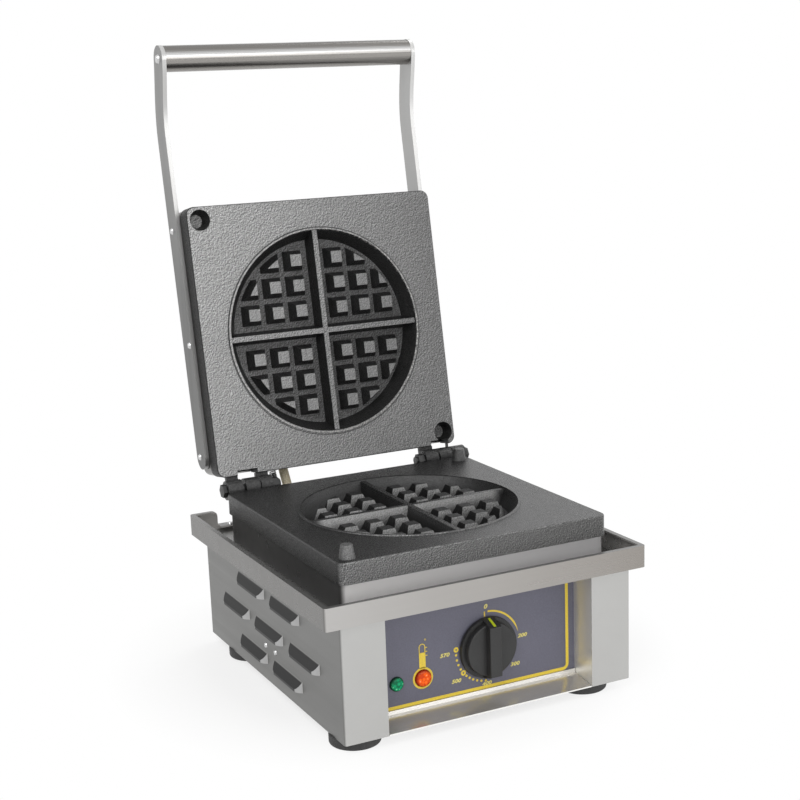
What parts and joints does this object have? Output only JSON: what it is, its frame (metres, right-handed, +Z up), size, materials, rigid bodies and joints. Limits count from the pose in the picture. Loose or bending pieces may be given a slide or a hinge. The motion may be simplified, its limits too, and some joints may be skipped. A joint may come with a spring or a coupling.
{
  "type": "commercial waffle maker",
  "caption": "Electric waffle iron with round cast plates in quarters, hinged lid on two flat arms with a tube handle, drip tray, louvred steel body and recessed dial controls.",
  "frame": {"origin": "on the floor under the middle of the open appliance's bounding box", "axes": "+Z up, front towards -Y, +X to the right seen from the front"},
  "size_m": [0.305, 0.3981, 0.5674],
  "materials": {
    "body_steel": "satin",
    "tray_steel": "brushed",
    "lid_steel": "brushed",
    "handle_steel": "brushed along its length",
    "fasteners": "bright",
    "cast_iron": "rough as cast",
    "hinge_steel": "blackened",
    "spring_steel": "bright wire",
    "sleeve": "woven glass sleeve",
    "fascia": "satin",
    "knob_plastic": "fine matt",
    "pointer_paint": "plain",
    "green_lens": "clear tinted",
    "amber_lens": "clear tinted",
    "rubber": "matt",
    "heater": "dull metal sheath",
    "clamp_steel": "mill",
    "insulation": "fibrous",
    "black_plastic": "plain",
    "brass": "plain"
  },
  "bodies": {
    "base": {"left_side": "body_steel", "right_side": "body_steel", "rear_panel": "body_steel", "base_pan": "body_steel", "front_sill": "body_steel", "drip_tray": "tray_steel", "plate_collar": "tray_steel", "spring_anchor": "lid_steel", "side_screws": "fasteners", "tray_screws": "fasteners", "foot_screws": "fasteners", "plate_standoffs": "fasteners", "lower_studs": "fasteners", "lower_plate": "cast_iron", "lower_pegs": "cast_iron", "plate_pins": "cast_iron", "lower_hinge_lugs": "cast_iron", "hinge_bolts": "hinge_steel", "hinge_nuts": "hinge_steel", "lid_spring": "spring_steel", "cable_sleeve": "sleeve", "control_fascia": "fascia", "green_lamp": "green_lens", "amber_lamp": "amber_lens", "feet": "rubber", "lower_element": "heater", "lower_clamp_sheet": "clamp_steel", "lower_insulation": "insulation", "thermostat_body": "black_plastic", "lamp_holders": "black_plastic", "cable_gland": "black_plastic", "gland_nut": "black_plastic", "thermostat_nut": "brass"},
    "lid": {"upper_plate": "cast_iron", "upper_pegs": "cast_iron", "upper_hinge_lugs": "cast_iron", "lid_casing": "lid_steel", "upper_element": "heater", "upper_clamp_sheet": "clamp_steel", "upper_insulation": "insulation", "upper_studs": "fasteners", "left_arm": "lid_steel", "right_arm": "lid_steel", "arm_nut_strips": "lid_steel", "arm_screws": "fasteners", "handle_tube": "handle_steel", "handle_plugs": "handle_steel", "handle_screws": "fasteners", "lid_ferrules": "lid_steel"},
    "knob": {"thermostat_knob": "knob_plastic", "knob_pointer": "pointer_paint", "thermostat_shaft": "brass"}
  },
  "joints": [
    {"name": "lid_hinge", "type": "hinge", "parent": "base", "child": "lid", "pos_m": [0, 0.09234, 0.15474], "axis": [1, 0, 0], "range_deg": [0, 100], "deforming": ["lid_spring", "cable_sleeve"]},
    {"name": "knob_turn", "type": "hinge", "parent": "base", "child": "knob", "pos_m": [0.0106, -0.16896, 0.0552], "axis": [0, 1, 0], "range_deg": [0, 276]}
  ]
}
